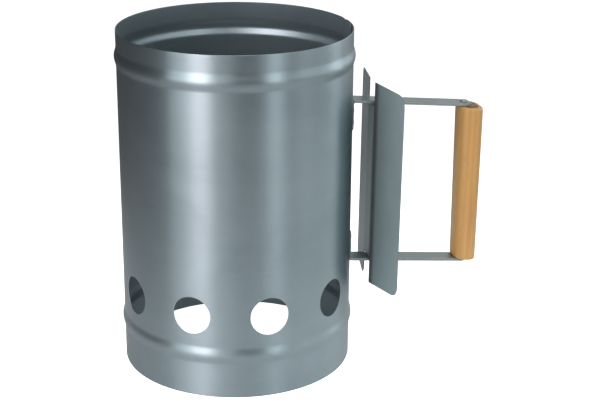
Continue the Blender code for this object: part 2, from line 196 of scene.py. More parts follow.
def stops(*pairs):
    """Grid lines from (position, step to the next) pairs in any order; the last step is unused."""
    pairs = sorted(pairs)
    lines = []
    for (start, step), (end, _) in zip(pairs, pairs[1:]):
        if end - start > 1e-6:
            count = max(1, round((end - start) / step))
            lines += [start + (end - start) * i / count for i in range(count)]
    return lines + [pairs[-1][0]]


def nearest(lines, value):
    return min(range(len(lines)), key=lambda i: abs(lines[i] - value))


def blank(columns, rows, holes=(), keep=None):
    """Flat points and quads of a sheet divided along grid lines.

    Each hole is (along, up, radius, half side of the square of cells given up to it); rings of
    quads run from the square to the circle.  keep(along, up) says whether a cell is part of it.
    """
    points = [(x, y) for x in columns for y in rows]
    height = len(rows)
    dropped = set()
    quads = []
    for along, up, radius, side in holes:
        left, right = nearest(columns, along - side), nearest(columns, along + side)
        low, high = nearest(rows, up - side), nearest(rows, up + side)
        dropped |= {(c, r) for c in range(left, right) for r in range(low, high)}
        loop = [(c, low) for c in range(left, right)] + [(right, r) for r in range(low, high)]
        loop += [(c, high) for c in range(right, left, -1)] + [(left, r) for r in range(high, low, -1)]
        outer = [c * height + r for c, r in loop]
        middle = Vector((along, up))
        ring_count = 4
        ring = outer
        for i in range(1, ring_count + 1):
            share = i / ring_count
            inner = []
            for corner in outer:
                start = Vector(points[corner])
                end = middle + (start - middle).normalized() * radius
                inner.append(len(points))
                points.append(tuple(start.lerp(end, share)))
            for k in range(len(ring)):
                j = (k + 1) % len(ring)
                quads.append((ring[k], ring[j], inner[j], inner[k]))
            ring = inner
    for c in range(len(columns) - 1):
        for r in range(len(rows) - 1):
            centre = ((columns[c] + columns[c + 1]) / 2, (rows[r] + rows[r + 1]) / 2)
            if (c, r) not in dropped and (keep is None or keep(*centre)):
                quads.append((c * height + r, (c + 1) * height + r,
                              (c + 1) * height + r + 1, c * height + r + 1))
    used = sorted({i for quad in quads for i in quad})
    number = {old: new for new, old in enumerate(used)}
    return [points[i] for i in used], [tuple(number[i] for i in quad) for quad in quads]


def vertex_normals(points, quads):
    corners = points[np.array(quads)]
    face = np.cross(corners[:, 2] - corners[:, 0], corners[:, 3] - corners[:, 1])
    normals = np.zeros_like(points)
    for k in range(4):
        np.add.at(normals, np.array(quads)[:, k], face)
    return normals / np.linalg.norm(normals, axis=1)[:, None]


def sheet_mesh(name, flat, quads, put, thickness, edge):
    """A closed sheet round a middle surface, its free edges rounded off with radius edge.

    put(along, up) gives the place of a flat point; the sheet ends edge beyond the last points.
    """
    points = np.array([put(*point) for point in flat], float)
    normals = vertex_normals(points, quads)
    sides = {(quad[k], quad[(k + 1) % 4]) for quad in quads for k in range(4)}
    free = sorted((a, b) for a, b in sides if (b, a) not in sides)
    ahead = dict(free)
    behind = {b: a for a, b in free}
    half = thickness / 2
    mitre_limit = 1.5
    steps = 3
    quarter = [QUARTER * i / steps for i in range(steps + 1)]
    profile = [(edge * math.sin(t), half - edge + edge * math.cos(t)) for t in quarter]
    mirrored = [(out, -lift) for out, lift in reversed(profile)]
    if half - edge < 1e-6:
        mirrored = mirrored[1:]
    profile = (profile + mirrored)[1:-1]
    count = len(points)
    verts = [tuple(p) for p in points + half * normals] + [tuple(p) for p in points - half * normals]
    places = [(x, y, half) for x, y in flat] + [(x, y, -half) for x, y in flat]
    faces = list(quads) + [tuple(i + count for i in reversed(quad)) for quad in quads]
    chains = {}
    for here in ahead:
        normal = normals[here]
        outward = []
        for a, b in ((behind[here], here), (here, ahead[here])):
            side = np.cross(points[b] - points[a], normal)
            outward.append(side / np.linalg.norm(side))
        mean = outward[0] + outward[1]
        length = np.linalg.norm(mean)
        out_way = mean / length * min(2 / length, mitre_limit)
        chain = [here]
        for out, lift in profile:
            chain.append(len(verts))
            verts.append(tuple(points[here] + out * out_way + lift * normal))
            places.append((*flat[here], lift))
        chains[here] = chain + [here + count]
    for a, b in free:
        for k in range(len(profile) + 1):
            faces.append((chains[b][k], chains[a][k], chains[a][k + 1], chains[b][k + 1]))
    mesh = bpy.data.meshes.new(name)
    mesh.from_pydata(verts, [], faces)
    set_place(mesh, places)
    return mesh


def bent(run, straight, radius, turn):
    """(forward, sideways) place on a strip that runs straight, bends by turn and runs on straight."""
    if run <= straight:
        return run, 0
    angle = min((run - straight) / radius, turn)
    past = run - straight - radius * angle
    return (straight + radius * math.sin(angle) + past * math.cos(turn),
            radius * (1 - math.cos(angle)) + past * math.sin(turn))


def strap_face(top, x, depth=0):
    """Height at x of the plane lying depth below a strap's upper face, which starts at top."""
    return top - math.tan(STRAP_LEAN) * (x - TUBE_RADIUS) - depth / math.cos(STRAP_LEAN)


def corner_inset(distance, radius):
    """How far a rounded corner pulls a side in, at a distance from the end of the blank."""
    inside = radius - min(max(distance, 0), radius)
    return radius - math.sqrt(radius ** 2 - inside ** 2)


def corner_stops(length, radius, steps=6):
    """Grid lines through the rounded corner at the start of a blank, up to the given length."""
    lines = [radius * (1 - math.cos(QUARTER * i / steps)) for i in range(steps + 1)]
    return [line for line in lines if line < length]


def turned_mesh(name, profile, segments=48):
    """Revolve (radius, height) points about Z; the first and last points lie on the axis."""
    bm = bmesh.new()
    points = [bm.verts.new((radius, 0, height)) for radius, height in profile]
    edges = [bm.edges.new(pair) for pair in zip(points, points[1:])]
    bmesh.ops.spin(bm, geom=points + edges, cent=(0, 0, 0), axis=(0, 0, 1),
                   angle=2 * math.pi, steps=segments, use_merge=True)
    bmesh.ops.remove_doubles(bm, verts=bm.verts, dist=1e-7)
    bmesh.ops.recalc_face_normals(bm, faces=bm.faces)
    mesh = bpy.data.meshes.new(name)
    bm.to_mesh(mesh)
    bm.free()
    set_place(mesh, [tuple(vert.co) for vert in mesh.vertices])
    return mesh


def rounded(profile, radius, steps=4):
    """A profile with each inner corner rounded off, by as much as its two sides allow."""
    points = [Vector(point) for point in profile]
    result = [points[0]]
    for before, here, after in zip(points, points[1:], points[2:]):
        back, on = before - here, after - here
        reach = min(radius, back.length * 0.45, on.length * 0.45)
        start = here + back.normalized() * reach
        end = here + on.normalized() * reach
        for i in range(steps + 1):
            t = i / steps
            result.append(start * (1 - t) ** 2 + here * 2 * t * (1 - t) + end * t ** 2)
    return [tuple(point) for point in result + [points[-1]]]


def lofted_mesh(name, rings, places):
    """A closed skin over rings of equally many points; each end is closed by a fan."""
    size = len(rings[0])
    verts = [point for ring in rings for point in ring]
    faces = []
    for k in range(len(rings) - 1):
        for i in range(size):
            j = (i + 1) % size
            faces.append((k * size + i, k * size + j, (k + 1) * size + j, (k + 1) * size + i))
    last = (len(rings) - 1) * size
    for first, way in ((0, 1), (last, -1)):
        middle = len(verts)
        verts.append(tuple(np.mean(verts[first:first + size], axis=0)))
        places = places + [tuple(np.mean(places[first:first + size], axis=0))]
        for i in range(size):
            pair = (first + (i + 1) % size, first + i)
            faces.append((middle, *pair[::way]))
    mesh = bpy.data.meshes.new(name)
    mesh.from_pydata(verts, [], faces)
    set_place(mesh, places)
    return mesh


# ---------------------------------------------------------------- material helpers
def new_material(name, colour):
    """A material, its node tree and its shader, with a plain viewport colour."""
    material = bpy.data.materials.new(name)
    material.use_nodes = True
    material.diffuse_color = (*colour, 1)
    tree = material.node_tree
    return material, tree, tree.nodes["Principled BSDF"]


def fill(tree, node, values):
    """Fill a node's inputs with numbers or with other nodes' outputs."""
    for key, value in values.items():
        if isinstance(value, bpy.types.NodeSocket):
            tree.links.new(value, node.inputs[key])
        else:
            node.inputs[key].default_value = value


def add(tree, kind, values=None, **settings):
    """A shader node with its settings and its inputs filled."""
    node = tree.nodes.new("ShaderNode" + kind)
    for key, value in settings.items():
        setattr(node, key, value)
    fill(tree, node, values or {})
    return node


def blank_place(tree):
    """Where a point lies on its piece's flat blank, in metres."""
    return add(tree, "Attribute", attribute_name="place").outputs["Vector"]


def noise(tree, place, scale, detail=3, roughness=0.55, distortion=0):
    """Soft noise with that many cells per metre along each axis."""
    spread = add(tree, "Mapping", {"Vector": place, "Scale": scale})
    made = add(tree, "TexNoise", {"Vector": spread.outputs[0], "Scale": 1, "Detail": detail,
                                  "Roughness": roughness, "Distortion": distortion})
    return made.outputs["Fac"]


def remap(tree, value, low, high, to_low, to_high):
    """A value moved from one range to another, and held inside it."""
    made = add(tree, "MapRange", {"Value": value, "From Min": low, "From Max": high,
                                  "To Min": to_low, "To Max": to_high})
    return made.outputs["Result"]


def blend_colours(tree, factor, first, second):
    mixed = add(tree, "Mix", {0: factor, 6: (*first, 1) if isinstance(first, tuple) else first,
                              7: (*second, 1) if isinstance(second, tuple) else second},
                data_type="RGBA")
    return mixed.outputs[2]


def maths(tree, operation, *values):
    return add(tree, "Math", dict(enumerate(values)), operation=operation).outputs[0]


def bump(tree, height, distance, strength=1, normal=None):
    """A bump whose full height is the distance, in metres, on top of another bump's normal."""
    values = {"Height": height, "Distance": distance, "Strength": strength}
    if normal:
        values["Normal"] = normal
    return add(tree, "Bump", values).outputs["Normal"]


# ---------------------------------------------------------------- materials
SIDE_CHANGE = (-0.0001, 0.0001)  # depths in a sheet between which its inner side turns to its outer
# the colour that the painted shade on cut edges and along the shield's fold darkens towards
PAINTED_SHADE_STEEL = (0.03, 0.04, 0.045)
FOLD_SHADE_LINE = -0.0105            # where across the shield's blank the painted line of shade lies
FOLD_SHADE_HALF = 0.0015             # half width of its darkest part
FOLD_SHADE_END = 0.006               # distance from it where it has faded out


def by_side(tree, depth, outer, inner):
    """A level for each side of a sheet, or one plain number where both sides are the same."""
    if outer == inner:
        return outer
    return remap(tree, depth, *SIDE_CHANGE, inner, outer)


def rolled_steel(name, light, dark, thickness, roughness, metallic, across, spread,
                 drawn_out=0.8, mottle=14, sheen=0, edge_shade=0, fold_shade=0, inner_turn=0):
    """Satin rolled sheet: faint rolling lines, soft mottling, handling marks and fine scratches.

    roughness and metallic are pairs, for the outer and the inner side of the sheet.  across is the
    axis of the blank, 0 or 1, that the rolling lines cross; spread is the direction in which they
    draw out a highlight, and drawn_out how far, from 0 to 1.  mottle is the number of soft patches
    in a metre.  The edge and fold levels paint shade: they darken the cut edges, and paint a dark
    line of shade along one of the shield's folds.  With inner_turn, the radius of a rolled-up
    sheet, its inner side draws highlights out around the tube instead.
    """
    material, tree, shader = new_material(name, light)
    place = blank_place(tree)
    spot = add(tree, "SeparateXYZ", {"Vector": place}).outputs
    smooth = [level - 0.08 for level in roughness]    # room for the wear added below
    rough_level = by_side(tree, spot["Z"], *smooth)
    metal_level = by_side(tree, spot["Z"], *metallic)
    lines = [9.0, 9.0, 9.0]
    lines[across] = 1900
    fine = noise(tree, place, tuple(lines), detail=4, roughness=0.7)
    bands = [3.0, 3.0, 3.0]
    bands[across] = 160
    broad = noise(tree, place, tuple(bands), detail=3)
    cloud = noise(tree, place, (mottle,) * 3, detail=5, roughness=0.6, distortion=0.6)
    speck = noise(tree, place, (900,) * 3, detail=2)
    tone = maths(tree, "MULTIPLY_ADD", broad, 0.2, maths(tree, "MULTIPLY", cloud, 0.8))
    colour = blend_colours(tree, remap(tree, tone, 0.36, 0.64, 0, 1), dark, light)
    if edge_shade:
        # Painted shade: the sheet's cut edges are darkened towards the shade colour.
        from_middle = maths(tree, "ABSOLUTE", spot["Z"])
        edge = remap(tree, from_middle, thickness * 0.40, thickness * 0.48, edge_shade, 0)
        colour = blend_colours(tree, edge, colour, PAINTED_SHADE_STEEL)
    # Painted shade: a dark line along the shield's near fold that fades out to each side.
    if fold_shade:
        from_fold = maths(tree, "ABSOLUTE", maths(tree, "SUBTRACT", spot["X"], FOLD_SHADE_LINE))
        fold_shade_mask = remap(tree, from_fold, FOLD_SHADE_HALF, FOLD_SHADE_END, fold_shade, 0)
        colour = blend_colours(tree, fold_shade_mask, colour, PAINTED_SHADE_STEEL)
    tree.links.new(colour, shader.inputs["Base Color"])
    scratch_place = add(tree, "Mapping", {"Vector": place, "Rotation": (0, 0, 0.5)}).outputs[0]
    scratch = noise(tree, scratch_place, (20, 2600, 20), detail=1)
    scratches = remap(tree, scratch, 0.74, 0.80, 0, 1)
    wear = maths(tree, "MULTIPLY_ADD", fine, 0.03, maths(tree, "MULTIPLY", cloud, 0.10))
    rough = maths(tree, "ADD", wear, rough_level)
    rough = maths(tree, "MULTIPLY_ADD", scratches, -0.05, rough)
    tree.links.new(rough, shader.inputs["Roughness"])
    normal = bump(tree, fine, 0.000004)
    normal = bump(tree, speck, 0.000004, normal=normal)
    normal = bump(tree, scratches, -0.000006, normal=normal)
    tree.links.new(normal, shader.inputs["Normal"])
    tangent = add(tree, "CombineXYZ", dict(enumerate(spread))).outputs[0]
    if inner_turn:
        angle = maths(tree, "DIVIDE", spot["X"], inner_turn)
        sideways = maths(tree, "MULTIPLY", maths(tree, "SINE", angle), -1)
        around = add(tree, "CombineXYZ", {0: sideways, 1: maths(tree, "COSINE", angle)}).outputs[0]
        outer = maths(tree, "GREATER_THAN", spot["Z"], 0)
        tangent = add(tree, "Mix", {0: outer, 4: around, 5: tangent}, data_type="VECTOR").outputs[1]
    fill(tree, shader, {"Tangent": tangent, "Metallic": metal_level, "Anisotropic": drawn_out,
                        "Sheen Weight": sheen})
    return material


def drawn_steel(name, light, dark, roughness, scale):
    """Drawn or turned steel with a plated skin: lines along its length, soft dull patches."""
    material, tree, shader = new_material(name, light)
    place = blank_place(tree)
    lines = noise(tree, place, scale, detail=3, roughness=0.7)
    patches = noise(tree, place, (90, 90, 90), detail=4, roughness=0.65)
    colour = blend_colours(tree, remap(tree, patches, 0.35, 0.65, 0, 1), dark, light)
    tree.links.new(colour, shader.inputs["Base Color"])
    rough = maths(tree, "MULTIPLY_ADD", patches, 0.22, maths(tree, "MULTIPLY", lines, 0.06))
    tree.links.new(maths(tree, "ADD", rough, roughness - 0.14), shader.inputs["Roughness"])
    normal = bump(tree, lines, 0.000012)
    normal = bump(tree, patches, 0.00002, normal=normal)
    tree.links.new(normal, shader.inputs["Normal"])
    shader.inputs["Metallic"].default_value = 1
    return material


def oiled_wood(name):
    """Pale straight-grained wood: growth bands, fine fibres, dark pores and an oiled skin."""
    light, middle, dark = (0.55, 0.318, 0.102), (0.45, 0.234, 0.062), (0.29, 0.130, 0.033)
    material, tree, shader = new_material(name, middle)
    place = blank_place(tree)
    wander = noise(tree, place, (30, 30, 7), detail=2)
    wave_place = add(tree, "Mapping", {"Vector": place, "Rotation": (0, 0, 0.45),
                                       "Scale": (1, 0.35, 0.05)}).outputs[0]
    rings = add(tree, "TexWave", {"Vector": wave_place, "Scale": 60, "Distortion": 7, "Detail": 3,
                                  "Detail Scale": 1.2, "Detail Roughness": 0.6},
                wave_type="BANDS", bands_direction="X").outputs["Fac"]
    fibres = noise(tree, place, (1500, 1500, 26), detail=3, roughness=0.65)
    streaks = noise(tree, place, (130, 130, 14), detail=3)
    pores = remap(tree, noise(tree, place, (1700, 1700, 110), detail=1), 0.70, 0.78, 0, 1)
    base = blend_colours(tree, remap(tree, rings, 0.15, 0.95, 0, 0.45), light, middle)
    warm = blend_colours(tree, remap(tree, streaks, 0.50, 0.74, 0, 0.35), base, dark)
    grained = blend_colours(tree, remap(tree, fibres, 0.35, 0.75, 0, 0.14), warm, dark)
    patched = blend_colours(tree, remap(tree, wander, 0.3, 0.7, 0, 0.2), grained, light)
    colour = blend_colours(tree, maths(tree, "MULTIPLY", pores, 0.55), patched, dark)
    tree.links.new(colour, shader.inputs["Base Color"])
    rough = maths(tree, "MULTIPLY_ADD", fibres, 0.16, maths(tree, "MULTIPLY_ADD", pores, 0.25, 0.30))
    tree.links.new(rough, shader.inputs["Roughness"])
    normal = bump(tree, fibres, 0.00003)
    normal = bump(tree, pores, -0.00006, normal=normal)
    tree.links.new(normal, shader.inputs["Normal"])
    shader.inputs["Coat Weight"].default_value = 0.25
    shader.inputs["Coat Roughness"].default_value = 0.28
    return material


# ---------------------------------------------------------------- tube
def bead_rise(z):
    """How far the wall swells outwards at a height."""
    for middle in BEAD_HEIGHTS:
        offset = abs(z - middle) / BEAD_HALF_WIDTH
        if offset < 1:
            return BEAD_RISE * (1 + math.cos(math.pi * offset)) / 2
    return 0


def lap_step(angle):
    """How far the sheet's inner end is stepped in under its outer end."""
    share = min(max((LAP_END + LAP_JOGGLE - angle) / LAP_JOGGLE, 0), 1)
    return (TUBE_SHEET + GAP) * share * share * (3 - 2 * share)


def put_on_tube(along, up):
    angle = along / TUBE_RADIUS
    radius = TUBE_RADIUS + bead_rise(up) - lap_step(angle) - TUBE_SHEET / 2
    return radius * math.cos(angle), radius * math.sin(angle), up


def foot_rivet_heights(top, foot_way):
    face = top if foot_way > 0 else top - STRAP_THICKNESS
    return [face + foot_way * run for run in FOOT_RIVETS]


def build_tube(steel):
    edge = TUBE_SHEET / 2
    vent_block = 0.020
    turn = 2 * math.pi * TUBE_RADIUS
    start, end = LAP_START * TUBE_RADIUS, LAP_END * TUBE_RADIUS
    columns = [(start + edge, LAP_STEP), (-HOLE_BLOCK, FINE), (HOLE_BLOCK, LAP_STEP), (end, FINE),
               (end + LAP_JOGGLE * TUBE_RADIUS, MEDIUM)]
    holes = []
    for i in range(VENT_COUNT):
        middle = TUBE_RADIUS * (math.pi + (i - (VENT_COUNT - 1) / 2) * VENT_PITCH)
        columns += [(middle - vent_block, MEDIUM), (middle + vent_block, MEDIUM)]
        holes.append((middle, VENT_HEIGHT, VENT_RADIUS, vent_block))
    columns += [(turn - HOLE_BLOCK, FINE), (turn + HOLE_BLOCK, LAP_STEP), (turn + end - edge, 1)]
    rows = [(edge, COARSE), (VENT_HEIGHT - vent_block, MEDIUM), (VENT_HEIGHT + vent_block, MEDIUM)]
    for middle in BEAD_HEIGHTS:
        rows += [(middle - BEAD_HALF_WIDTH, BEAD_STEP), (middle + BEAD_HALF_WIDTH, COARSE)]
    for _, top, foot_way in HANDLE_SIDES:
        for z in foot_rivet_heights(top, foot_way):
            rows += [(z - HOLE_BLOCK, HOLE_STEP), (z + HOLE_BLOCK, COARSE)]
            holes += [(0, z, HOLE_RADIUS, HOLE_BLOCK), (turn, z, HOLE_RADIUS, HOLE_BLOCK)]
    rows.append((TUBE_HEIGHT - edge, 1))
    flat, quads = blank(stops(*columns), stops(*rows), holes)
    mesh = sheet_mesh("body_tube_fine", flat, quads, put_on_tube, TUBE_SHEET, edge)
    add_piece("body_tube_fine", mesh, "starter", steel, ["body_tube"])


# ---------------------------------------------------------------- handle
def build_strap(name, top, foot_way, steel):
    """A flat bar with a foot dished to the tube, rounded ends and broken edges."""
    edge = 0.0005
    middle_radius = STRAP_BEND - STRAP_THICKNESS / 2
    foot_x = TUBE_RADIUS + GAP + STRAP_THICKNESS / 2
    tip = top + (FOOT_LENGTH if foot_way > 0 else -FOOT_LENGTH - STRAP_THICKNESS)
    turn = QUARTER - foot_way * STRAP_LEAN
    meet = strap_face(top, foot_x, STRAP_THICKNESS / 2)
    straight = abs(meet - tip) - middle_radius * math.tan(turn / 2)
    slope_start = straight + middle_radius * turn
    x_start = foot_x + bent(slope_start, straight, middle_radius, turn)[1]

    def run_at(x):
        """Run along the bar to where a hole square to its face lies, from its upper face's x."""
        x_middle = x - STRAP_THICKNESS / 2 * math.sin(STRAP_LEAN)
        return slope_start + (x_middle - x_start) / math.cos(STRAP_LEAN)

    length = run_at(STRAP_END + STRAP_THICKNESS / 2 * math.sin(STRAP_LEAN))
    holes = [(abs(z - tip), 0, HOLE_RADIUS, HOLE_BLOCK) for z in foot_rivet_heights(top, foot_way)]
    holes += [(run_at(x), 0, HOLE_RADIUS, HOLE_BLOCK) for x in (SHIELD_X + TAB_RIVET, SCREW_X)]
    lines = [edge + line for line in corner_stops(STRAP_CORNER, STRAP_CORNER - edge)]
    pairs = [(lines[-1], COARSE)]
    for run, _, _, side in holes:
        pairs += [(run - side, HOLE_STEP), (run + side, COARSE)]
    pairs += [(straight, 0.0006), (slope_start, COARSE), (length - lines[-1], COARSE)]
    columns = lines[:-1] + stops(*pairs) + [length - line for line in reversed(lines[:-1])]
    half = STRAP_WIDTH / 2 - edge
    rows = stops((-half, HOLE_STEP), (-HOLE_BLOCK, HOLE_STEP), (HOLE_BLOCK, HOLE_STEP), (half, 1))
    flat, quads = blank(columns, rows, holes)

    def put(along, across):
        inset = corner_inset(min(along, length - along) - edge, STRAP_CORNER - edge)
        forward, sideways = bent(along, straight, middle_radius, turn)
        across *= 1 - inset / half
        hug = foot_x - math.sqrt(foot_x ** 2 - across ** 2)
        past_foot = min(max((along - straight) / (slope_start - straight), 0), 1)
        return foot_x + sideways - hug * (1 - past_foot), across, tip - foot_way * forward

    mesh = sheet_mesh(name + "_fine", flat, quads, put, STRAP_THICKNESS, edge)
    add_piece(name + "_fine", mesh, "starter", steel, [name])


def build_shield(steel):
    """The folded shield: a web between two wings, and two tabs bent out of the notches."""
    edge = 0.0003
    clear = GAP + SHIELD_SHEET / 2
    half_height = SHIELD_TOP - SHIELD_MIDDLE - edge
    fall = math.cos(SHIELD_LEAN) + math.tan(STRAP_LEAN) * math.sin(SHIELD_LEAN)
    lean = Matrix.Rotation(SHIELD_LEAN, 3, "Y")
    pivot = Vector((SHIELD_X, 0, SHIELD_MIDDLE))
    wing_end = SHIELD_HALF_SLOT + SHIELD_WING - edge
    tabs = {}
    for way, top, depth in ((-1, LOWER_STRAP_TOP, -clear), (1, UPPER_STRAP_TOP, STRAP_THICKNESS + clear)):
        turn = QUARTER + way * (STRAP_LEAN - SHIELD_LEAN)
        meet = SHIELD_MIDDLE + (strap_face(top, SHIELD_X, depth) - SHIELD_MIDDLE) / fall
        root = meet - way * TAB_BEND * math.tan(turn / 2)
        tabs[way] = (root, turn, TAB_BEND * turn + TAB_LENGTH)
    slot_line = SHIELD_HALF_SLOT + edge
    tab_line = TAB_HALF_WIDTH - edge
    fold_line = SHIELD_HALF_SLOT + 0.0012
    inner = [HOLE_BLOCK, tab_line, SHIELD_HALF_SLOT - 0.0004]
    halves = []
    for end_corner, slot_corner in zip(SHIELD_CORNERS, SLOT_CORNERS):
        end_lines = [wing_end - line for line in corner_stops(end_corner - edge, end_corner - edge)]
        root_lines = [slot_line + line for line in corner_stops(slot_corner, slot_corner)]
        past_fold = max(fold_line, root_lines[-1])
        halves.append(inner + [line for line in root_lines if line < past_fold - 1e-6]
                      + stops((past_fold, 0.003), (end_lines[-1], 1)) + end_lines[-2::-1])
    columns = [-x for x in reversed(halves[0])] + [-0.002, 0, 0.002] + halves[1]
    pairs = [(SHIELD_BOTTOM + edge, COARSE), (SHIELD_TOP - edge, 1)]
    holes = []
    for way, (root, turn, length) in tabs.items():
        run = TAB_BEND * turn + TAB_RIVET - TAB_BEND
        hole = root + way * run
        holes.append((0, hole, HOLE_RADIUS, HOLE_BLOCK))
        tip = root + way * (length - edge)
        bend_end = root + way * TAB_BEND * turn
        pairs += zip(sorted((root, bend_end)), (BEND_STEP, COARSE))
        pairs += [(tip - way * TAB_CORNER * share, COARSE) for share in (0, 0.1, 0.3, 0.6, 1)]
        pairs += [(hole - HOLE_BLOCK, HOLE_STEP), (hole + HOLE_BLOCK, COARSE)]
    rows = stops(*pairs)

    def keep(along, up):
        if abs(along) > slot_line:
            return True
        for way, (root, _, length) in tabs.items():
            past = way * (up - root)
            if past > 0:
                return abs(along) < tab_line and past < length - edge
        return True

    def put_upright(along, up):
        for way, (root, turn, length) in tabs.items():
            past = way * (up - root)
            if past > 0 and abs(along) < tab_line + 1e-6:
                inset = corner_inset(length - edge - past, TAB_CORNER)
                forward, sideways = bent(past, 0, TAB_BEND, turn)
                return SHIELD_X + sideways, along * (1 - inset / tab_line), root + way * forward
        side = 1 if along > 0 else -1
        wing = along > 0
        bend = SHIELD_BENDS[wing]
        straight = SHIELD_HALF_SLOT - SHIELD_FOLD * math.tan(bend / 2)
        forward, sideways = bent(abs(along), straight, SHIELD_FOLD, bend)
        outboard = max(abs(along) - SHIELD_HALF_SLOT, 0) / SHIELD_WING
        inset = SHIELD_WING_DROP * outboard
        inset += corner_inset(wing_end - abs(along), SHIELD_CORNERS[wing] - edge)
        z = SHIELD_MIDDLE + (up - SHIELD_MIDDLE) * (1 - inset / half_height)
        if abs(along) > slot_line - 1e-6:
            reach = SLOT_CORNER_HEIGHT * SLOT_CORNERS[wing]
            share = max(1 - (up - SHIELD_BOTTOM - edge) / reach, 0)
            z += corner_inset(abs(along) - slot_line, SLOT_CORNERS[wing]) * share
        return SHIELD_X + sideways, side * forward, z

    def put(along, up):
        return lean @ (Vector(put_upright(along, up)) - pivot) + pivot

    flat, quads = blank(columns, rows, holes, keep)
    mesh = sheet_mesh("heat_shield_fine", flat, quads, put, SHIELD_SHEET, edge)
    add_piece("heat_shield_fine", mesh, "starter", steel, ["heat_shield"])


def rivet_profile(stack, rise):
    """A domed head with a thin rim, the shank through the stack and a dished tail."""
    rim = 0.0004
    dome = [(RIVET_HEAD * math.sin(t), rim + (rise - rim) * math.cos(t))
            for t in (QUARTER * i / 8 for i in range(9))]
    tail_radius = RIVET_HEAD * 0.8
    tail = [(RIVET_HEAD, 0), (RIVET_SHANK, 0), (RIVET_SHANK, -stack), (tail_radius, -stack),
            (tail_radius * 0.92, -stack - RIVET_TAIL), (RIVET_SHANK, -stack - RIVET_TAIL),
            (RIVET_SHANK * 0.8, -stack - RIVET_TAIL * 0.6), (0, -stack - RIVET_TAIL * 0.5)]
    return dome[:-1] + rounded([dome[-1]] + tail, 0.00025, 3)


def square_to_strap(top, x, way):
    """The turn and place of a rivet or screw on a strap's upper (1) or lower (-1) face."""
    depth = -GAP if way > 0 else STRAP_THICKNESS + GAP
    place = Matrix.Translation((x, 0, strap_face(top, x, depth)))
    return place @ Matrix.Rotation(STRAP_LEAN + (0 if way > 0 else math.pi), 4, "Y")


def build_rivets(steel):
    outside = TUBE_RADIUS + GAP + STRAP_THICKNESS + GAP
    inside = TUBE_RADIUS - 2 * TUBE_SHEET - 2 * GAP
    tab_stack = STRAP_THICKNESS + SHIELD_SHEET + 3 * GAP
    lay_out = Matrix.Rotation(QUARTER, 4, "Y")
    for side, top, foot_way in HANDLE_SIDES:
        spots = [(f"{side}_foot_rivet_{i + 1}", outside - inside, FOOT_RIVET_RISE,
                  Matrix.Translation((outside, 0, z)) @ lay_out)
                 for i, z in enumerate(foot_rivet_heights(top, foot_way))]
        spots.append((f"{side}_shield_rivet", tab_stack, RIVET_RISE,
                      square_to_strap(top, SHIELD_X + TAB_RIVET, -foot_way)))
        for name, stack, rise, place in spots:
            mesh = turned_mesh(name + "_fine", rivet_profile(stack, rise))
            mesh.transform(place)
            add_piece(name + "_fine", mesh, "starter", steel, [name])


def cross_recess():
    """A cutter for a screw's cross recess: two crossed bars that narrow downwards."""
    bm = bmesh.new()
    half_length, half_width, depth = 0.0022, 0.00045, 0.0012
    for turn in (0, QUARTER):
        box = bmesh.ops.create_cube(bm, size=2, matrix=Matrix.Rotation(turn, 4, "Z"))
        for vert in box["verts"]:
            along = Vector((math.cos(turn), math.sin(turn), 0))
            across = Vector((-math.sin(turn), math.cos(turn), 0))
            deep = vert.co.z < 0
            x = vert.co.dot(along) * half_length * (0.45 if deep else 1)
            y = vert.co.dot(across) * half_width * (0.8 if deep else 1)
            z = SCREW_RISE - depth if deep else SCREW_RISE + depth
            vert.co = along * x + across * y + Vector((0, 0, z))
    mesh = bpy.data.meshes.new("cross_recess")
    bm.to_mesh(mesh)
    bm.free()
    set_place(mesh, [tuple(vert.co) for vert in mesh.vertices])
    return mesh


def build_screws(steel):
    rim = 0.0005
    head = [(SCREW_HEAD * math.sin(t), rim + (SCREW_RISE - rim) * math.cos(t) ** 0.8)
            for t in (QUARTER * i / 8 for i in range(8))]
    shank = [(SCREW_HEAD, rim), (SCREW_HEAD, 0), (SCREW_SHANK, 0), (SCREW_SHANK, 0.003 - SCREW_LENGTH),
             (0, -SCREW_LENGTH)]
    cutter = bpy.data.objects.new("cross_recess", cross_recess())
    bpy.context.scene.collection.objects.link(cutter)
    for side, top, foot_way in HANDLE_SIDES:
        name = f"{side}_grip_screw"
        mesh = turned_mesh(name + "_fine", head + rounded(shank, 0.00025, 3))
        blank_screw = bpy.data.objects.new(name, mesh)
        bpy.context.scene.collection.objects.link(blank_screw)
        cut = blank_screw.modifiers.new("recess", "BOOLEAN")
        cut.object = cutter
        cut.solver = "EXACT"
        cut.use_self = True             # the cutter's two bars cross
        graph = bpy.context.evaluated_depsgraph_get()
        cut_mesh = bpy.data.meshes.new_from_object(blank_screw.evaluated_get(graph))
        cut_mesh.name = name + "_fine"
        cut_mesh.transform(square_to_strap(top, SCREW_X, -foot_way))
        bpy.data.objects.remove(blank_screw)
        add_piece(name + "_fine", cut_mesh, "starter", steel, [name])
    bpy.data.objects.remove(cutter)


def oval(half_x, half_y, steps=72):
    """Points of a rounded oval (a superellipse)."""
    power = 2 / GRIP_ROUNDNESS
    points = []
    for i in range(steps):
        c = math.cos(2 * math.pi * i / steps)
        s = math.sin(2 * math.pi * i / steps)
        points.append((math.copysign(abs(c) ** power * half_x, c),
                       math.copysign(abs(s) ** power * half_y, s)))
    return points


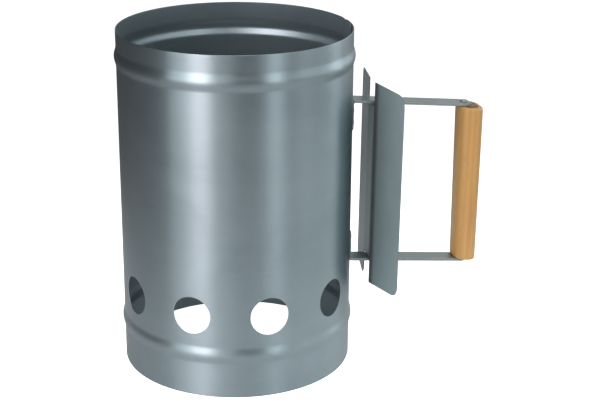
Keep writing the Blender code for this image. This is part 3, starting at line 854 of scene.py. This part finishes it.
def build_grip(wood):
    """A tapering oval bar with rounded ends that follow the slope of the straps."""
    low = strap_face(LOWER_STRAP_TOP, GRIP_X, -GAP)
    high = strap_face(UPPER_STRAP_TOP, GRIP_X, STRAP_THICKNESS + GAP)
    quarter = [QUARTER * i / 8 for i in range(9)]
    rounding = [(GRIP_EDGE * (1 - math.cos(t)), GRIP_EDGE * (1 - math.sin(t))) for t in quarter]
    end_rings = [(0, GRIP_HALF_TOP[0] * share) for share in (0.8, 0.55, 0.35)]
    levels = [(low + lift, inset) for lift, inset in end_rings[::-1] + rounding]
    levels += [(z, 0) for z in stops((low + GRIP_EDGE, 0.006), (high - GRIP_EDGE, 1))[1:-1]]
    levels += [(high - lift, inset) for lift, inset in rounding[::-1] + end_rings]
    rings, places = [], []
    for z, inset in levels:
        share = (z - low) / (high - low)
        half = [a + (b - a) * share for a, b in zip(GRIP_HALF_BOTTOM, GRIP_HALF_TOP)]
        points = oval(half[0] - inset, half[1] - inset)
        rings.append([(GRIP_X + x, y, z - x * math.tan(STRAP_LEAN)) for x, y in points])
        places += [(x, y, z) for x, y in points]
    mesh = lofted_mesh("grip_fine", rings, places)
    add_piece("grip_fine", mesh, "starter", wood, ["grip"])


# ---------------------------------------------------------------- grate
def build_brackets(steel):
    """Angle brackets with rounded corners and two spot-weld dimples in the upright flange."""
    edge = 0.0004
    cad_facets = 64                 # of the CAD part's tube, whose flat sides stand further in
    wall = TUBE_RADIUS * math.cos(math.pi / cad_facets) - TUBE_SHEET - GAP
    flat_x = math.sqrt(wall ** 2 - (BRACKET_WIDTH / 2) ** 2) - BRACKET_SHEET / 2
    straight = BRACKET_DEPTH - BRACKET_SHEET / 2 - BRACKET_BEND
    length = straight + BRACKET_BEND * QUARTER + BRACKET_LEG - BRACKET_SHEET / 2 - BRACKET_BEND
    half = BRACKET_WIDTH / 2 - edge
    corner = 0.0025
    dimple_spots = ((0.006, -0.004), (0.006, 0.004))
    dimple_radius, dimple_depth = 0.002, 0.0003

    def put(along, across):
        inset = corner_inset(min(along, length - along) - edge, corner)
        forward, sideways = bent(along, straight, BRACKET_BEND, QUARTER)
        reach = dimple_radius ** 2 / 2
        dent = sum(dimple_depth * math.exp(-((along - a) ** 2 + (across - b) ** 2) / reach)
                   for a, b in dimple_spots)
        return (flat_x - sideways + dent, across * (1 - inset / half),
                BRACKET_TOP - BRACKET_DEPTH + forward)

    lines = [edge + line for line in corner_stops(corner, corner)]
    columns = lines[:-1] + stops((lines[-1], BEND_STEP), (straight, 0.0004), (length - lines[-1], 1))
    columns += [length - line for line in reversed(lines[:-1])]
    flat, quads = blank(columns, stops((-half, BEND_STEP), (half, 1)))
    for i, angle in enumerate(BRACKET_ANGLES):
        name = f"grate_bracket_{i + 1}"
        mesh = sheet_mesh(name + "_fine", flat, quads, put, BRACKET_SHEET, edge)
        mesh.transform(Matrix.Rotation(angle, 4, "Z"))
        add_piece(name + "_fine", mesh, "starter", steel, [name])


def wire_rings(half, radius, swells, side_count=20):
    """Sections of a straight wire along X with sheared, rounded ends.

    swells are (place, reach down, reach sideways) of the weld beads that sit under the wire.
    """
    end_round = radius * 0.35
    ends = [(end_round * (1 - math.cos(t)), end_round * (1 - math.sin(t)))
            for t in (QUARTER * i / 4 for i in range(5))]
    sections = [(-half, radius * 0.45)] + [(-half + run, inset) for run, inset in ends]
    inner = half - end_round
    spots = sorted({-inner + 2 * inner * i / 60 for i in range(61)}
                   | {place + step * 0.0005 for place, _, _ in swells for step in range(-8, 9)
                      if abs(place + step * 0.0005) < inner - 1e-4})
    sections += [(x, 0) for x in spots[1:-1]]
    sections += [(half - run, inset) for run, inset in reversed(ends)] + [(half, radius * 0.45)]
    rings, places = [], []
    for x, inset in sections:
        ring = []
        for i in range(side_count):
            roll = 2 * math.pi * i / side_count
            y, z = (radius - inset) * math.cos(roll), (radius - inset) * math.sin(roll)
            for place, down, out in swells:
                share = math.exp(-((x - place) / 0.0018) ** 2) * max(-math.sin(roll), 0) ** 1.5
                z -= down * share
                y += out * share * math.cos(roll)
            ring.append((x, y, z))
            places.append((x, roll * radius, 0))
        rings.append(ring)
    return [ring[::-1] for ring in rings], places


def build_ring(steel):
    """The grate's ring: drawn wire bent round, with one butt weld."""
    ring_z = BRACKET_TOP + GAP + RING_WIRE
    count, sides = 180, 20
    weld_angle, weld_swell = math.radians(196), 0.0005
    verts, faces, places = [], [], []
    for i in range(count):
        turn = 2 * math.pi * i / count
        away = (turn - weld_angle) * RING_RADIUS
        wire = RING_WIRE + weld_swell * math.exp(-(away / 0.0022) ** 2)
        for j in range(sides):
            roll = 2 * math.pi * j / sides
            r = RING_RADIUS + wire * math.cos(roll)
            verts.append((r * math.cos(turn), r * math.sin(turn), ring_z + RING_WIRE * math.sin(roll)))
            places.append((turn * RING_RADIUS, roll * wire, 0))
            on, over = (i + 1) % count, (j + 1) % sides
            faces.append((i * sides + j, on * sides + j, on * sides + over, i * sides + over))
    mesh = bpy.data.meshes.new("grate_ring_fine")
    mesh.from_pydata(verts, [], faces)
    set_place(mesh, places)
    add_piece("grate_ring_fine", mesh, "grate", steel, ["grate_ring"])
    return ring_z


def build_grate(steel):
    ring_z = build_ring(steel)
    bar_z = ring_z + RING_WIRE + BAR_WIRE + GAP
    cross_z = bar_z - 2 * BAR_WIRE - GAP
    for i in range(BAR_COUNT):
        y = (i - (BAR_COUNT - 1) / 2) * BAR_SPACING
        half = math.sqrt(RING_RADIUS ** 2 - y ** 2)
        weld = half - RING_WIRE * 0.4
        swells = [(-weld, 0.0011, 0.0009), (0, 0.0006, 0.0006), (weld, 0.0011, 0.0009)]
        rings, places = wire_rings(half, BAR_WIRE, swells)
        name = f"grate_bar_{i + 1}"
        mesh = lofted_mesh(name + "_fine", rings, places)
        mesh.transform(Matrix.Translation((0, y, bar_z)))
        add_piece(name + "_fine", mesh, "grate", steel, [name])
    half = RING_RADIUS - RING_WIRE - GAP
    rings, places = wire_rings(half, BAR_WIRE, [])
    mesh = lofted_mesh("grate_cross_bar_fine", rings, places)
    mesh.transform(Matrix.Translation((0, 0, cross_z)) @ Matrix.Rotation(QUARTER, 4, "Z"))
    add_piece("grate_cross_bar_fine", mesh, "grate", steel, ["grate_cross_bar"])


# ---------------------------------------------------------------- studio
def seen_by_camera(tree, otherwise, seen):
    """A level that differs for what the camera sees directly and for the light given off."""
    path = add(tree, "LightPath")
    return remap(tree, path.outputs["Is Camera Ray"], 0, 1, otherwise, seen)


def add_floor():
    """A pale matt floor, duller far out, lightened in the picture so that it runs into the backdrop."""
    bm = bmesh.new()
    bmesh.ops.create_grid(bm, x_segments=1, y_segments=1, size=FLOOR_SIZE)
    mesh = bpy.data.meshes.new("floor")
    bm.to_mesh(mesh)
    bm.free()
    material, tree, shader = new_material("pale_floor", (FLOOR_SHADES[0],) * 3)
    place = add(tree, "NewGeometry").outputs["Position"]
    away = add(tree, "VectorMath", {0: place}, operation="LENGTH").outputs["Value"]
    shade = remap(tree, away, *FLOOR_FADE, *FLOOR_SHADES)
    grey = add(tree, "CombineColor", dict.fromkeys(range(3), shade)).outputs[0]
    tree.links.new(grey, shader.inputs["Base Color"])
    shader.inputs["Roughness"].default_value = 0.9
    shader.inputs["Emission Color"].default_value = (1, 1, 1, 1)
    tree.links.new(seen_by_camera(tree, 0, 1.0), shader.inputs["Emission Strength"])
    mesh.materials.append(material)
    floor = bpy.data.objects.new("floor", mesh)
    bpy.context.scene.collection.objects.link(floor)


def add_lamp(name, right, up, distance, size, power, colour):
    """A soft rectangular lamp facing the lit point, placed by its bearing from the camera's."""
    data = bpy.data.lights.new(name, "AREA")
    data.shape = "RECTANGLE"
    data.size, data.size_y = size
    data.energy = power
    data.color = colour
    bearing = math.radians(right) + CAMERA_HEADING
    height = math.radians(up)
    way = Vector((math.sin(bearing) * math.cos(height), -math.cos(bearing) * math.cos(height),
                  math.sin(height)))
    lamp = bpy.data.objects.new(name, data)
    lamp.location = Vector(LIT_POINT) + way * distance
    lamp.rotation_euler = (-way).to_track_quat("-Z", "Y").to_euler()
    bpy.context.scene.collection.objects.link(lamp)


def add_world():
    """A white surround in the picture that gives off only a little light."""
    world = bpy.data.worlds.new("surround")
    world.use_nodes = True
    tree = world.node_tree
    background = tree.nodes["Background"]
    background.inputs["Color"].default_value = (1, 1, 1, 1)
    tree.links.new(seen_by_camera(tree, *SURROUND), background.inputs["Strength"])
    bpy.context.scene.world = world


def add_camera():
    data = bpy.data.cameras.new("camera")
    data.lens = CAMERA_LENS
    camera = bpy.data.objects.new("camera", data)
    heading = Matrix.Rotation(CAMERA_HEADING, 4, "Z")
    pitch = Matrix.Rotation(CAMERA_PITCH, 4, "X")
    roll = Matrix.Rotation(CAMERA_ROLL, 4, "Z")
    camera.matrix_world = Matrix.Translation(CAMERA_PLACE) @ heading @ pitch @ roll
    bpy.context.scene.collection.objects.link(camera)
    bpy.context.scene.camera = camera


def build_studio():
    add_floor()
    add_camera()
    add_world()
    for lamp in LAMPS:
        add_lamp(*lamp)
    bpy.context.scene.view_settings.view_transform = "Standard"


def main():
    up, out = (0, 0, 1), (0, 1, 0)
    tube_steel = rolled_steel("tube_steel", (0.285, 0.362, 0.392), (0.25, 0.322, 0.35), TUBE_SHEET,
                              (0.40, 0.34), (0.92, 0.70), 1, up, inner_turn=TUBE_RADIUS)
    strap_steel = rolled_steel("strap_steel", (0.42, 0.485, 0.49), (0.355, 0.42, 0.425), STRAP_THICKNESS,
                               (0.42, 0.42), (0.92, 0.92), 1, out, edge_shade=0.45)
    shield_steel = rolled_steel("shield_steel", (0.30, 0.42, 0.435), (0.26, 0.37, 0.385), SHIELD_SHEET,
                                (0.50, 0.50), (0.4, 0.4), 1, up, drawn_out=0.3, sheen=0.4,
                                edge_shade=0.6, fold_shade=0.85)
    bracket_steel = rolled_steel("bracket_steel", (0.36, 0.42, 0.44), (0.28, 0.34, 0.36), BRACKET_SHEET,
                                 (0.45, 0.45), (0.92, 0.92), 1, up, mottle=40)
    wire_steel = drawn_steel("wire_steel", (0.52, 0.53, 0.54), (0.38, 0.39, 0.40), 0.36, (40, 2500, 40))
    rivet_steel = drawn_steel("rivet_steel", (0.46, 0.50, 0.51), (0.36, 0.40, 0.41), 0.40, (1200,) * 3)
    wood = oiled_wood("grip_wood")
    build_tube(tube_steel)
    for side, top, foot_way in HANDLE_SIDES:
        build_strap(side + "_strap", top, foot_way, strap_steel)
    build_shield(shield_steel)
    build_rivets(rivet_steel)
    build_screws(rivet_steel)
    build_grip(wood)
    build_brackets(bracket_steel)
    build_grate(wire_steel)
    build_studio()


main()
